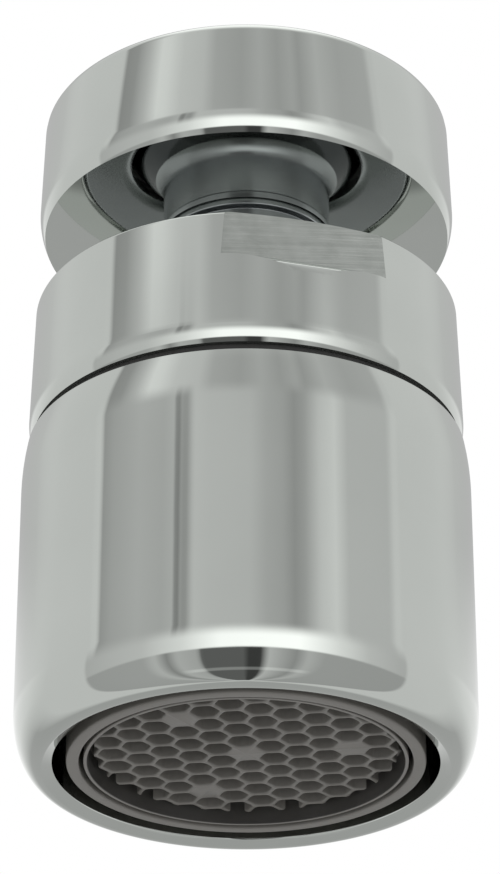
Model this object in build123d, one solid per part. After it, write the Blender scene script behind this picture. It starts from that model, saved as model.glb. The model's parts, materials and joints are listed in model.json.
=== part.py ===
from build123d import *
import math
import os

# driving sizes in millimetres, heights count up from the outlet rim
HOUSING_R = 13.15  # outlet sleeve, outer radius
HOUSING_HEIGHT = 20.18  # outlet sleeve, height
SEAM = 0.47  # dark gap between sleeve and collar
COLLAR_HEIGHT = 8.6  # collar, seam to its upper outer edge
NECK_SPACE = 5.58  # open space between collar edge and nut
NUT_R = 12.58  # connector nut, largest radius
NUT_HEIGHT = 7.7  # connector nut, height
INLET_R = 10.46  # inner radius of the spout thread
BALL_R = 8.0  # ball of the joint
NECK_R = 4.85  # smooth neck above the ball
THREAD_R = 5.2  # threaded end of the stem
WATER_R = 3.4  # water way through the stem
FIT = 0.08  # running clearance of the moving surfaces
SNUG = 0.03  # clearance between screwed pieces
CELL_PITCH = 1.727  # honeycomb, centre to centre
CELL_WALL = 0.26  # honeycomb, wall thickness
CELL_TURN = 22.6  # honeycomb, turn of its rows in degrees
FLAT_TURN = 16.3  # spanner flat, turn from the front in degrees

# heights that follow from them
COLLAR_BASE = HOUSING_HEIGHT + SEAM
COLLAR_EDGE = COLLAR_BASE + COLLAR_HEIGHT
COLLAR_TOP = COLLAR_EDGE + 0.57
NUT_BASE = COLLAR_EDGE + NECK_SPACE
NUT_TOP = NUT_BASE + NUT_HEIGHT
NUT_FLOOR = NUT_BASE + 0.25 * NUT_HEIGHT
WASHER_TOP = NUT_FLOOR + 1.6
BALL_Z = COLLAR_TOP - 0.62 * BALL_R
SEAT_LOW = BALL_Z - 0.65 * BALL_R
SEAT_HIGH = BALL_Z + 0.4 * BALL_R
RIM_Z = 0.38
CELL_BASE = 1.1
CELL_TOP = 3.3
SCREEN = 0.25
SCREEN_BASE = CELL_TOP + 0.3
BARREL_STEP = SCREEN_BASE + 2 * SCREEN
JET_BASE = 0.39 * HOUSING_HEIGHT
LEDGE_Z = JET_BASE + 1.7
FLANGE_TOP = LEDGE_Z + 1.4
SKIRT_END = FLANGE_TOP + 1.8

# radii that follow from them
INLET_ROOT = INLET_R + 0.48
COLLAR_R = HOUSING_R - 0.32
COLLAR_EDGE_R = COLLAR_R - 0.2
BORE_R = HOUSING_R - 1.65
OPENING_R = HOUSING_R - 2.26
BARREL_R = OPENING_R - 0.76
BARREL_IN_R = BARREL_R - 0.73
CELL_RIM_R = BARREL_IN_R - 0.25
CELL_FIELD_R = CELL_RIM_R - 0.22
RETAINER_R = BALL_R + 2.0
SEAT_BORE_R = RETAINER_R - 0.75
SEAT_R = SEAT_BORE_R - FIT
FLAT_R = COLLAR_R - 1.12


def turned(start, *steps):
    """A solid turned about Z from radius and height pairs and ready-made arcs."""
    lines = []
    here = start
    for step in steps:
        edge = Line(here, step) if isinstance(step, tuple) else step
        lines.append(edge)
        here = edge @ 1
    lines.append(Line(here, start))
    return revolve(Plane.XZ * make_face(lines), Axis.Z)


def drawn_in(outer, height, draw, span, top=False):
    """Arc of an outline that pulls a wall in by a little at its lower or upper end."""
    turn = 2 * math.degrees(math.atan(draw / span))
    radius = span / math.sin(math.radians(turn))
    first = 0 if top else -turn
    return CenterArc((outer - radius, height), radius, first, turn)


def ring(inner, outer, low, high):
    """A plain ring with a square section."""
    return turned((inner, low), (outer, low), (outer, high), (inner, high))


def ball_at_centre(radius):
    """A ball placed at the middle of the joint."""
    return Pos(0, 0, BALL_Z) * Sphere(radius)


def round_ring(radius, section, height):
    """A ring with a round section."""
    return Pos(0, 0, height) * Torus(radius, section)


def around(count, radius, first=0.0):
    """Equal places on a circle."""
    turns = [math.radians(first + 360 * index / count) for index in range(count)]
    return [(radius * math.cos(turn), radius * math.sin(turn)) for turn in turns]


def inlet_ridges():
    """Outline points of the spout thread's ridges, from the mouth down."""
    count = 4
    lead = 0.2
    pitch = (NUT_TOP - WASHER_TOP) / (count + lead)
    points = []
    for index in range(count):
        top = NUT_TOP - (index + lead) * pitch
        points.append((INLET_ROOT, top))
        points.append((INLET_R, top - 0.35 * pitch))
        points.append((INLET_R, top - 0.65 * pitch))
    points.append((INLET_ROOT, WASHER_TOP))
    return points


def connector_nut():
    """Round nut with thread ridges inside, its lower edge drawn in to a crisp corner."""
    draw = 0.32
    span = 1.5
    top_r = NUT_R - 0.18
    rounding = 0.45
    hole = THREAD_R + SNUG
    return turned(
        (hole, NUT_BASE),
        (NUT_R - draw, NUT_BASE),
        drawn_in(NUT_R, NUT_BASE + span, draw, span),
        (top_r, NUT_TOP - rounding),
        CenterArc((top_r - rounding, NUT_TOP - rounding), rounding, 0, 90),
        (INLET_ROOT + 0.2, NUT_TOP),
        *inlet_ridges(),
        (INLET_ROOT, NUT_FLOOR),
        (hole, NUT_FLOOR),
    )


def inlet_washer():
    """Flat sealing washer in the relief under the spout thread."""
    return ring(0.675 * INLET_R, INLET_R + 0.25, NUT_FLOOR, WASHER_TOP - SNUG)


def ball_stem():
    """Hollow ball that sweeps into a neck, with a threaded end for the nut."""
    sweep = 1.7
    sweep_z = BALL_Z + math.sqrt((BALL_R + sweep) ** 2 - (NECK_R + sweep) ** 2)
    sweep_turn = math.degrees(math.asin((sweep_z - BALL_Z) / (BALL_R + sweep)))
    foot_r = BALL_R * math.cos(math.radians(sweep_turn))
    shoulder_z = NUT_BASE - 0.5
    groove_low = NUT_BASE + 0.1
    groove_high = groove_low + 0.5
    root = THREAD_R - 0.3
    neck = turned(
        (0, BALL_Z),
        (foot_r, BALL_Z),
        (foot_r, BALL_Z + BALL_R * math.sin(math.radians(sweep_turn))),
        CenterArc((NECK_R + sweep, sweep_z), sweep, 180 + sweep_turn, -sweep_turn),
        (NECK_R, shoulder_z),
        (THREAD_R, shoulder_z + 0.1),
        (THREAD_R, groove_low),
        (root, groove_low),
        (root, groove_high),
        (THREAD_R, groove_high + 0.2),
        (THREAD_R, NUT_FLOOR - 0.3),
        (THREAD_R - 0.3, NUT_FLOOR),
        (0, NUT_FLOOR),
    )
    flat_z = BALL_Z - 0.8 * BALL_R
    keep = ring(0, BALL_R + 1, flat_z, BALL_Z + BALL_R)
    groove = ring(BALL_R - 1.45, BALL_R + 1, BALL_Z - 0.7, BALL_Z + 0.7)
    ball = ball_at_centre(BALL_R) & keep
    water = turned(
        (0, flat_z - 1),
        (WATER_R + 1.6, flat_z - 1),
        (WATER_R, flat_z + 0.6),
        (WATER_R, NUT_TOP),
        (0, NUT_TOP),
    )
    socket_z = NUT_FLOOR - 1.6
    socket = Pos(0, 0, socket_z) * extrude(RegularPolygon(WATER_R + 0.55, 6), 4)
    return ball + neck - groove - water - socket


def stem_seal():
    """Thin ring in the relief between neck and nut."""
    return ring(THREAD_R - 0.28, THREAD_R + 0.01, NUT_BASE + 0.13, NUT_BASE + 0.57)


def ball_o_ring():
    """Round ring in the groove at the ball's waist."""
    return round_ring(BALL_R - 0.75, 0.62, BALL_Z)


def upper_seat():
    """Plastic ring that the ball bears on from above."""
    blank = ring(0, SEAT_R, BALL_Z + 0.15 * BALL_R, SEAT_HIGH)
    return blank - ball_at_centre(BALL_R + FIT)


def lower_seat():
    """Plastic ring under the ball with a groove for its seal."""
    blank = ring(0, SEAT_R, SEAT_LOW, BALL_Z - 0.15 * BALL_R)
    middle = (SEAT_LOW + BALL_Z - 0.15 * BALL_R) / 2
    groove = ring(SEAT_R - 0.8, SEAT_R + 1, middle - 0.5, middle + 0.5)
    return blank - ball_at_centre(BALL_R + FIT) - groove


def seat_o_ring():
    """Round ring in the groove of the lower seat."""
    middle = (SEAT_LOW + BALL_Z - 0.15 * BALL_R) / 2
    return round_ring(SEAT_R - 0.38, 0.38, middle)


def ball_retainer():
    """Screwed ring whose rounded lip keeps the ball in."""
    low = BALL_Z + 0.08 * BALL_R
    step = SEAT_HIGH + 0.5 * FIT
    blank = turned(
        (0, step),
        (SEAT_BORE_R, step),
        (SEAT_BORE_R, low),
        (RETAINER_R, low),
        (RETAINER_R, COLLAR_TOP - 0.18),
        (RETAINER_R - 0.18, COLLAR_TOP),
        (0, COLLAR_TOP),
    )
    lip_r = RETAINER_R - 2.4
    rounding = 0.8
    mouth = turned(
        (0, COLLAR_TOP - rounding),
        (lip_r - rounding, COLLAR_TOP - rounding),
        CenterArc((lip_r, COLLAR_TOP - rounding), rounding, 180, -90),
        (lip_r, COLLAR_TOP + 1),
        (0, COLLAR_TOP + 1),
    )
    return blank - ball_at_centre(BALL_R + 0.45) - mouth


def collar():
    """Collar round the joint, with a screwed skirt and two flats over rounded shoulders."""
    bore = RETAINER_R + SNUG
    seat_z = BALL_Z + 0.08 * BALL_R - SNUG
    ledge_high = SEAT_LOW - 0.5 * FIT
    ledge_low = ledge_high - 1.3
    skirt = BORE_R - SNUG
    chamber = BORE_R - 1.9
    draw = 0.22
    span = 1.15
    rounding = 0.2
    body = turned(
        (chamber, SKIRT_END),
        (skirt, SKIRT_END),
        (skirt, COLLAR_BASE),
        (COLLAR_R - draw, COLLAR_BASE),
        drawn_in(COLLAR_R, COLLAR_BASE + span, draw, span),
        (COLLAR_EDGE_R, COLLAR_EDGE - rounding),
        CenterArc((COLLAR_EDGE_R - rounding, COLLAR_EDGE - rounding), rounding, 0, 80),
        (bore + 0.18, COLLAR_TOP),
        (bore, COLLAR_TOP - 0.18),
        (bore, seat_z),
        (SEAT_BORE_R, seat_z),
        (SEAT_BORE_R, ledge_high),
        (0.8 * BALL_R, ledge_high),
        (0.8 * BALL_R, ledge_low),
        (chamber, ledge_low - 1.2),
    )
    flat_z = COLLAR_EDGE - 3.0
    shoulder = 1.1
    reach = FLAT_R + 4
    sides = Polyline(
        (FLAT_R + shoulder, flat_z - shoulder),
        (reach, flat_z - shoulder),
        (reach, COLLAR_TOP),
        (FLAT_R, COLLAR_TOP),
        (FLAT_R, flat_z),
    )
    rounded = CenterArc((FLAT_R, flat_z - shoulder), shoulder, 90, -90)
    cutter = extrude(Plane.XZ * make_face([sides, rounded]), 1.5 * COLLAR_R, both=True)
    for side in (0, 180):
        body -= Rot(0, 0, FLAT_TURN - 90 + side) * cutter
    return body


def collar_gasket():
    """Soft ring that fills the seam, set back from the outside."""
    return ring(BORE_R + 0.1, HOUSING_R - 0.85, HOUSING_HEIGHT, COLLAR_BASE)


def housing():
    """Outlet sleeve with a drawn-in top and a lower edge rounded on an ellipse."""
    foot = 1.53
    foot_height = 3.2
    draw = 0.28
    span = 3.0
    shoulder_z = HOUSING_HEIGHT - 0.15 - span
    return turned(
        (OPENING_R, 0.32),
        (HOUSING_R - foot - 0.12, 0),
        (HOUSING_R - foot, 0),
        EllipticalCenterArc((HOUSING_R - foot, foot_height), foot, foot_height, -90, arc_size=90),
        (HOUSING_R, shoulder_z),
        drawn_in(HOUSING_R, shoulder_z, draw, span, top=True),
        (HOUSING_R - draw - 0.2, HOUSING_HEIGHT),
        (BORE_R, HOUSING_HEIGHT),
        (BORE_R, LEDGE_Z),
        (OPENING_R, LEDGE_Z),
    )


def insert_washer():
    """Flat sealing washer pressed on the insert by the collar's skirt."""
    return ring(0.783 * BORE_R, BORE_R - 0.15, FLANGE_TOP, SKIRT_END)


def insert_body():
    """Barrel of the insert with a flange, steps inside and air windows."""
    flange_r = BORE_R - 0.1
    step_r = BARREL_IN_R - 0.4
    body = turned(
        (BARREL_IN_R, RIM_Z),
        (BARREL_R, RIM_Z),
        (BARREL_R, LEDGE_Z),
        (flange_r, LEDGE_Z),
        (flange_r, FLANGE_TOP),
        (BARREL_IN_R, FLANGE_TOP),
        (BARREL_IN_R, JET_BASE),
        (step_r, JET_BASE),
        (step_r, BARREL_STEP),
        (BARREL_IN_R, BARREL_STEP),
    )
    window_low = BARREL_STEP + 0.6
    window_high = JET_BASE - 0.6
    window = Pos(BARREL_R, 0, (window_low + window_high) / 2)
    window *= Box(5, 2.6, window_high - window_low)
    for turn in range(0, 360, 45):
        body -= Rot(0, 0, turn) * window
    return body


def insert_filter():
    """Strainer cap with rows of holes, standing on the jet plate."""
    base_z = JET_BASE + 1.6
    cap_z = base_z + 0.4 * BORE_R
    foot_r = BARREL_IN_R - 0.1
    cap_r = BORE_R - 3.0
    wall = 0.7
    shape = turned(
        (cap_r - wall, base_z),
        (foot_r, base_z),
        (foot_r, base_z + 1.0),
        (cap_r, base_z + 1.0),
        (cap_r, cap_z - 1.0),
        (cap_r - 1.0, cap_z),
        (0, cap_z),
        (0, cap_z - wall),
        (cap_r - wall - 0.8, cap_z - wall),
        (cap_r - wall, cap_z - 1.5),
    )
    for count, radius in ((6, 2.4), (12, 4.7), (18, 6.6)):
        for x, y in around(count, radius * cap_r / 8.5):
            shape -= Pos(x, y, cap_z) * Cylinder(0.6, 4)
    return shape


def regulator_o_ring():
    """Elastic ring lying on the jet plate."""
    return round_ring(0.42 * BARREL_IN_R, 0.8, JET_BASE + 1.6 + 0.8)


def jet_plate():
    """Plate with a ring of small jets."""
    shape = ring(0, BARREL_IN_R - 0.1, JET_BASE, JET_BASE + 1.6)
    for x, y in around(16, 0.72 * BARREL_IN_R):
        shape -= Pos(x, y, JET_BASE) * Cylinder(0.45, 6)
    return shape


def stream_screen(low, turn):
    """Thin disc with a grid of square holes."""
    radius = BARREL_IN_R - 0.1
    pitch = 1.7
    hole = 1.25
    reach = radius - 0.6 - hole * 0.7
    disc = Circle(radius)
    count = int(radius // pitch) + 1
    holes = []
    for column in range(-count, count + 1):
        for row in range(-count, count + 1):
            x, y = column * pitch, row * pitch
            if math.hypot(x, y) < reach:
                holes.append(Pos(x, y) * Rectangle(hole, hole))
    face = disc - holes
    return Pos(0, 0, low) * Rot(0, 0, turn) * extrude(face, SCREEN)


def cell_places():
    """Centres of the honeycomb cells that stay open."""
    turn = math.radians(CELL_TURN)
    along = (math.cos(turn), math.sin(turn))
    across = (math.cos(turn + math.pi / 3), math.sin(turn + math.pi / 3))
    filled = {(0, 0), (-2, -2), (4, -2), (-2, 4)}
    reach = int(CELL_FIELD_R // CELL_PITCH) * 2
    places = []
    for i in range(-reach, reach + 1):
        for j in range(-reach, reach + 1):
            x = CELL_PITCH * (i * along[0] + j * across[0])
            y = CELL_PITCH * (i * along[1] + j * across[1])
            if (i, j) not in filled and math.hypot(x, y) < CELL_FIELD_R + 0.45 * CELL_PITCH:
                places.append((x, y))
    return places


def honeycomb_outlet():
    """Honeycomb plate inside a thin rim, its walls ending at a groove along the rim."""
    corner_r = (CELL_PITCH - CELL_WALL) / math.sqrt(3)
    field = Circle(CELL_FIELD_R)
    cell = RegularPolygon(corner_r, 6, rotation=CELL_TURN + 30)
    holes = [(Pos(x, y) * cell) & field for x, y in cell_places()]
    holes = [hole for hole in holes if hole.area > 0.15 * cell.area]
    plate = extrude(Circle(CELL_RIM_R) - holes, CELL_TOP - CELL_BASE)
    groove = ring(CELL_FIELD_R - 0.35, CELL_FIELD_R + 0.05, CELL_BASE - 0.2, CELL_BASE + 0.8)
    rim = ring(CELL_FIELD_R, CELL_RIM_R, RIM_Z + 0.1, CELL_BASE)
    hold = ring(CELL_FIELD_R, BARREL_IN_R - SNUG, CELL_TOP - 0.7, SCREEN_BASE)
    plate = Pos(0, 0, CELL_BASE) * plate - groove
    return plate + rim + hold


def save(shape, name):
    """Write one piece to its own file."""
    shape.label = name
    export_step(shape, f"parts/{name}.step")


def main():
    """Build and save every piece."""
    os.makedirs("parts", exist_ok=True)
    save(connector_nut(), "connector_nut")
    save(inlet_washer(), "inlet_washer")
    save(ball_stem(), "ball_stem")
    save(stem_seal(), "stem_seal")
    save(ball_o_ring(), "ball_o_ring")
    save(upper_seat(), "upper_seat")
    save(lower_seat(), "lower_seat")
    save(seat_o_ring(), "seat_o_ring")
    save(ball_retainer(), "ball_retainer")
    save(collar(), "collar")
    save(collar_gasket(), "collar_gasket")
    save(housing(), "housing")
    save(insert_washer(), "insert_washer")
    save(insert_filter(), "insert_filter")
    save(jet_plate(), "jet_plate")
    save(regulator_o_ring(), "regulator_o_ring")
    save(insert_body(), "insert_body")
    save(stream_screen(SCREEN_BASE + SCREEN, 45), "screen_upper")
    save(stream_screen(SCREEN_BASE, 0), "screen_lower")
    save(honeycomb_outlet(), "honeycomb_outlet")


main()
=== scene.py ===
"""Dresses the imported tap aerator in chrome, grey plastic and rubber, in a soft white studio."""

import json
import logging
import math
from collections.abc import Callable
from dataclasses import dataclass, replace
from enum import Enum
from typing import Any

import bmesh
import bpy
from mathutils import Matrix, Vector

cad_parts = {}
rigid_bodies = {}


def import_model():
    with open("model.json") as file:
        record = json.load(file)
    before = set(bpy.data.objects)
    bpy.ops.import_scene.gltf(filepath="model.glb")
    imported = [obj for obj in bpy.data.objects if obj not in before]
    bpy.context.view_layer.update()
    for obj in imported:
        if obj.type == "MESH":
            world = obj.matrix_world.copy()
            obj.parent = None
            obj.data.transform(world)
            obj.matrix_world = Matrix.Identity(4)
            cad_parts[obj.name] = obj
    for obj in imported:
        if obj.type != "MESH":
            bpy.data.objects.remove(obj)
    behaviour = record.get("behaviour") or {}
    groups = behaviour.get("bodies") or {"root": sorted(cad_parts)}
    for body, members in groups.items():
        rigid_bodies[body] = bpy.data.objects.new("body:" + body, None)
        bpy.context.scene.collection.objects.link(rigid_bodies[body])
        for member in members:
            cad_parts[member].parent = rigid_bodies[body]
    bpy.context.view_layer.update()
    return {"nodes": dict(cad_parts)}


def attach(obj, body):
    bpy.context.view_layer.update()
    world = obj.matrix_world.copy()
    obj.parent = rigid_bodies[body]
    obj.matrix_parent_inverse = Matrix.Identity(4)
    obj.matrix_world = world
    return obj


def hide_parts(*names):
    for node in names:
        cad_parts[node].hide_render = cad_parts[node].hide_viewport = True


LOG = logging.getLogger("tap_aerator")

MM = 0.001
IMAGE_WIDTH = 500
IMAGE_HEIGHT = 874
SEGMENTS = 256
INSERT_SEGMENTS = 192
ARC_STEPS = 20
FILLET_STEPS = 4
WELD = 1e-7
SMOOTH_LIMIT = math.radians(28)
CELL_LIMIT = math.radians(50)
HEX_HALF_STEP = 30.0

# Sizes that several pieces share, in millimetres
NUT_BASE = 34.83
NUT_FLOOR = 36.755
JOINT_TOP = 29.82
SEAT_BORE = 9.25
INSERT_LEDGE = 9.57

# Edge roundings in millimetres
SHARP_EDGE = 0.03
THIN_EDGE = 0.04
FINE_EDGE = 0.05
BROKEN_EDGE = 0.06
EASED_EDGE = 0.08
SOFT_EDGE = 0.1

# Noise in the finishes: the levels that clouds run between, and how fine clouds and grain are
CLOUD_RANGE = (0.3, 0.7)
CLOUD_DETAIL = 3.0
GRAIN_DETAIL = 2.0

Colour = tuple[float, float, float]
Point = tuple[float, float]
Piece = bpy.types.Object
Nodes = dict[str, bpy.types.Object]
Socket = bpy.types.NodeSocket


class Body(Enum):
    """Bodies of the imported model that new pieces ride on."""

    SPOUT_SIDE = "spout_side"
    HEAD = "head"


class Slot(Enum):
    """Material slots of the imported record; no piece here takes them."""

    CHROME = "chrome"
    INSERT_PLASTIC = "insert_plastic"
    SCREEN_STEEL = "screen_steel"


class Graph:
    """Adds nodes to a node tree and wires them together."""

    def __init__(self, tree: bpy.types.NodeTree) -> None:
        """Keep the tree that the nodes go into."""
        self.tree = tree

    def add(self, kind: str, inputs: dict[Any, Any] | None = None, **settings: Any) -> bpy.types.Node:
        """Add one node.

        Args:
            kind: Blender's name of the node type.
            inputs: Values or output sockets by input name or number.
            settings: Other properties of the node.

        Returns:
            The new node.
        """
        node = self.tree.nodes.new(kind)
        for name, value in settings.items():
            setattr(node, name, value)
        for key, value in (inputs or {}).items():
            if isinstance(value, Socket):
                self.link(value, node.inputs[key])
            else:
                node.inputs[key].default_value = value
        return node

    def make(self, kind: str, inputs: dict[Any, Any] | None = None, **settings: Any) -> Socket:
        """Add one node and return its first output."""
        return self.add(kind, inputs, **settings).outputs[0]

    def link(self, output: Socket, target: Socket) -> None:
        """Wire an output to an input."""
        self.tree.links.new(output, target)

    def math(self, operation: str, first: Any, second: Any = 0.0, third: Any = 0.0) -> Socket:
        """Add a sum on up to three numbers and return its result."""
        return self.make("ShaderNodeMath", {0: first, 1: second, 2: third}, operation=operation)

    def span(self, value: Any, old: Point, new: Point, smooth: bool = False) -> Socket:
        """Map a value from one range to another.

        Args:
            value: The socket to map.
            old: The range it comes from.
            new: The range it goes to, which it never leaves.
            smooth: Whether the ends ease in and out.

        Returns:
            The mapped value.
        """
        kind = "SMOOTHSTEP" if smooth else "LINEAR"
        limits = {0: value, 1: old[0], 2: old[1], 3: new[0], 4: new[1]}
        return self.make("ShaderNodeMapRange", limits, interpolation_type=kind)

    def mix(self, share: Any, first: Any, second: Any) -> Socket:
        """Blend two numbers by a share and return the result."""
        return self.make("ShaderNodeMix", {0: share, 2: first, 3: second}, data_type="FLOAT")

    def crossing(self, value: Any, limits: Point, first: Any, second: Any, smooth: bool = True) -> Socket:
        """Blend from one number to another while a value crosses a range."""
        return self.mix(self.span(value, limits, (0.0, 1.0), smooth), first, second)

    def tint(self, share: Any, first: Colour, second: Colour) -> Socket:
        """Blend two colours by a share and return the result."""
        colours = {0: share, 6: (*first, 1.0), 7: (*second, 1.0)}
        return self.add("ShaderNodeMix", colours, data_type="RGBA").outputs[2]


@dataclass(frozen=True)
class Finish:
    """Surface that every finish starts from: a tone with clouds, gloss and grain."""

    name: str
    tone: Colour
    shade: Colour
    roughness: Point
    cloud_scale: float
    grain_scale: float
    grain_height: float
    metal: bool = False

    def material(self) -> bpy.types.Material:
        """Build the material of this finish.

        Returns:
            The material, made once and reused by name.
        """
        known = bpy.data.materials.get(self.name)
        if known is not None:
            return known
        material = bpy.data.materials.new(self.name)
        material.use_nodes = True
        graph = Graph(material.node_tree)
        shader = material.node_tree.nodes["Principled BSDF"]
        shader.inputs["Metallic"].default_value = 1.0 if self.metal else 0.0
        place = graph.add("ShaderNodeTexCoord").outputs["Object"]
        clouds = {"Vector": place, "Scale": self.cloud_scale, "Detail": CLOUD_DETAIL}
        cloud = graph.make("ShaderNodeTexNoise", clouds)
        share = graph.span(cloud, CLOUD_RANGE, (0.0, 1.0))
        graph.link(graph.tint(share, self.shade, self.tone), shader.inputs["Base Color"])
        graph.link(graph.span(cloud, CLOUD_RANGE, self.roughness), shader.inputs["Roughness"])
        graph.link(self.relief(graph, place), shader.inputs["Normal"])
        return material

    def relief(self, graph: Graph, place: Any) -> Socket:
        """Return the bumped normal of the fine grain."""
        grains = {"Vector": place, "Scale": self.grain_scale, "Detail": GRAIN_DETAIL}
        return self.bumped(graph, graph.make("ShaderNodeTexNoise", grains))

    def bumped(self, graph: Graph, height: Socket) -> Socket:
        """Return the normal that a height gives."""
        bump = {"Height": height, "Distance": self.grain_height, "Strength": 1.0}
        return graph.make("ShaderNodeBump", bump)


@dataclass(frozen=True)
class MilledFinish(Finish):
    """Chrome over a milled face: fine parallel cutter marks stay visible."""

    mark_turn: float = 0.0
    mark_leans: tuple[float, ...] = ()
    mark_stretch: float = 0.03
    mark_detail: float = 3.0

    def relief(self, graph: Graph, place: Any) -> Socket:
        """Return the bumped normal of long thin cutter marks that cross at small angles."""
        turned_back = {"Vector": place, "Rotation": (0.0, 0.0, -self.mark_turn)}
        face = graph.make("ShaderNodeMapping", turned_back)
        height: Any = 0.0
        for lean in self.mark_leans:
            tipped = {"Vector": face, "Rotation": (lean, 0.0, 0.0)}
            leaned = graph.make("ShaderNodeMapping", tipped)
            drawn_out = {"Vector": leaned, "Scale": (1.0, self.mark_stretch, 1.0)}
            drawn = graph.make("ShaderNodeMapping", drawn_out)
            marks = {"Vector": drawn, "Scale": self.grain_scale, "Detail": self.mark_detail}
            height = graph.math("ADD", height, graph.make("ShaderNodeTexNoise", marks))
        return self.bumped(graph, height)


CHROME = Finish(
    name="polished_chrome", tone=(0.469, 0.490, 0.467), shade=(0.449, 0.470, 0.447),
    roughness=(0.02, 0.05), cloud_scale=120.0, grain_scale=220.0, grain_height=4e-6, metal=True,
)
TURNED = replace(
    CHROME, name="turned_chrome", tone=(0.37, 0.39, 0.395), shade=(0.34, 0.36, 0.365),
    roughness=(0.2, 0.28), grain_scale=900.0,
)
# Painted shade: near-black chrome on the ball below its sweep, standing in for the shadow under the
# retainer's lip
BALL_PAINTED_SHADE = replace(
    TURNED, name="ball_painted_shade", tone=(0.08, 0.085, 0.087), shade=(0.065, 0.07, 0.072),
    roughness=(0.1, 0.15),
)
FLAT_TURN = math.radians(-73.7)
MILLED = MilledFinish(
    name="milled_chrome", tone=(0.415, 0.435, 0.413), shade=(0.365, 0.385, 0.363),
    roughness=(0.12, 0.2), cloud_scale=900.0, grain_scale=3200.0, grain_height=2.4e-5, metal=True,
    mark_turn=FLAT_TURN, mark_leans=(math.radians(24.0), math.radians(-7.0)),
)
INSERT_GREY = Finish(
    name="insert_grey", tone=(0.128, 0.122, 0.111), shade=(0.108, 0.103, 0.093),
    roughness=(0.34, 0.46), cloud_scale=300.0, grain_scale=4000.0, grain_height=6e-6,
)
# Painted shade: a darker copy of the insert grey for the edge groove's outer wall, where the recess lies in
# shadow
INSERT_PAINTED_SHADE = replace(
    INSERT_GREY, name="insert_painted_shade", tone=(0.045, 0.043, 0.04), shade=(0.035, 0.033, 0.03),
    roughness=(0.4, 0.5),
)
SEAT_WHITE = replace(
    INSERT_GREY, name="seat_white", tone=(0.82, 0.82, 0.79), shade=(0.76, 0.76, 0.72),
    roughness=(0.3, 0.42), grain_scale=3000.0, grain_height=5e-6,
)
RUBBER = Finish(
    name="black_rubber", tone=(0.03, 0.03, 0.029), shade=(0.018, 0.018, 0.017),
    roughness=(0.55, 0.75), cloud_scale=700.0, grain_scale=5000.0, grain_height=1.2e-5,
)
WIRE = Finish(
    name="screen_wire", tone=(0.55, 0.55, 0.54), shade=(0.42, 0.42, 0.41),
    roughness=(0.22, 0.34), cloud_scale=900.0, grain_scale=5000.0, grain_height=4e-6, metal=True,
)
PALE = Finish(
    name="pale_floor", tone=(0.92, 0.92, 0.92), shade=(0.90, 0.90, 0.90),
    roughness=(0.8, 0.9), cloud_scale=4.0, grain_scale=60.0, grain_height=1e-5,
)


class Outline:
    """Closed outline of a turned piece, as radius and height in millimetres."""

    corner_share: float = 0.45

    def __init__(self, radius: float, height: float, rounding: float = 0.0) -> None:
        """Start at one corner."""
        self.corners: list[tuple[float, float, float]] = [(radius, height, rounding)]

    def to(self, radius: float, height: float, rounding: float = 0.0) -> None:
        """Go straight to the next corner, which may be rounded."""
        self.corners.append((radius, height, rounding))

    def arc(self, centre: Point, radii: Point, first: float, sweep: float) -> None:
        """Follow part of a circle or ellipse.

        Args:
            centre: Middle of the ellipse.
            radii: Its reach along the radius and the height.
            first: Angle of the first point in degrees.
            sweep: Angle that the arc covers in degrees.
        """
        for step in range(ARC_STEPS + 1):
            turn = math.radians(first + sweep * step / ARC_STEPS)
            self.to(centre[0] + radii[0] * math.cos(turn), centre[1] + radii[1] * math.sin(turn))

    def drawn_in(self, outer: float, height: float, draw: float, span: float, top: bool = False) -> None:
        """Pull a wall in by a little at its lower or upper end, tangent to the wall."""
        turn = 2 * math.degrees(math.atan(draw / span))
        radius = span / math.sin(math.radians(turn))
        self.arc((outer - radius, height), (radius, radius), 0 if top else -turn, turn)

    def softened(self) -> list[Point]:
        """Return the outline's points with its rounded corners worked out."""
        points: list[Point] = []
        count = len(self.corners)
        for index, (radius, height, rounding) in enumerate(self.corners):
            here = Vector((radius, height))
            if rounding == 0.0:
                points.append((radius, height))
                continue
            back = Vector(self.corners[index - 1][:2]) - here
            ahead = Vector(self.corners[(index + 1) % count][:2]) - here
            start = here + back.normalized() * min(rounding, self.corner_share * back.length)
            end = here + ahead.normalized() * min(rounding, self.corner_share * ahead.length)
            for step in range(FILLET_STEPS + 1):
                part = step / FILLET_STEPS
                bent = start.lerp(here, part).lerp(here.lerp(end, part), part)
                points.append((bent.x, bent.y))
        return points


def new_piece(name: str, mesh: bpy.types.Mesh) -> Piece:
    """Put a mesh into the scene as an object at the origin."""
    piece = bpy.data.objects.new(name, mesh)
    bpy.context.scene.collection.objects.link(piece)
    return piece


def tidy_mesh(mesh: bpy.types.Mesh, outwards: bool = True, limit: float = SMOOTH_LIMIT) -> None:
    """Merge doubles, point the faces outwards and shade smoothly between sharp edges."""
    shape = bmesh.new()
    shape.from_mesh(mesh)
    bmesh.ops.remove_doubles(shape, verts=shape.verts, dist=WELD)
    if outwards:
        bmesh.ops.recalc_face_normals(shape, faces=shape.faces)
    shape.to_mesh(mesh)
    shape.free()
    mesh.shade_smooth()
    mesh.set_sharp_from_angle(angle=limit)


def turned(name: str, outline: Outline, finish: Finish, segments: int = SEGMENTS) -> Piece:
    """Turn an outline about the Z axis.

    Args:
        name: Name of the piece.
        outline: Closed outline in millimetres.
        finish: Finish of its surface.
        segments: Steps round the axis.

    Returns:
        The turned piece.
    """
    points = outline.softened()
    count = len(points)
    places = []
    for step in range(segments):
        turn = 2 * math.pi * step / segments
        across, along = math.cos(turn), math.sin(turn)
        places += [(radius * across * MM, radius * along * MM, height * MM) for radius, height in points]
    faces = []
    for step in range(segments):
        here, ahead = step * count, (step + 1) % segments * count
        for index in range(count):
            after = (index + 1) % count
            faces.append((here + index, ahead + index, ahead + after, here + after))
    mesh = bpy.data.meshes.new(name)
    mesh.from_pydata(places, [], faces)
    tidy_mesh(mesh)
    mesh.materials.append(finish.material())
    return new_piece(name, mesh)


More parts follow.
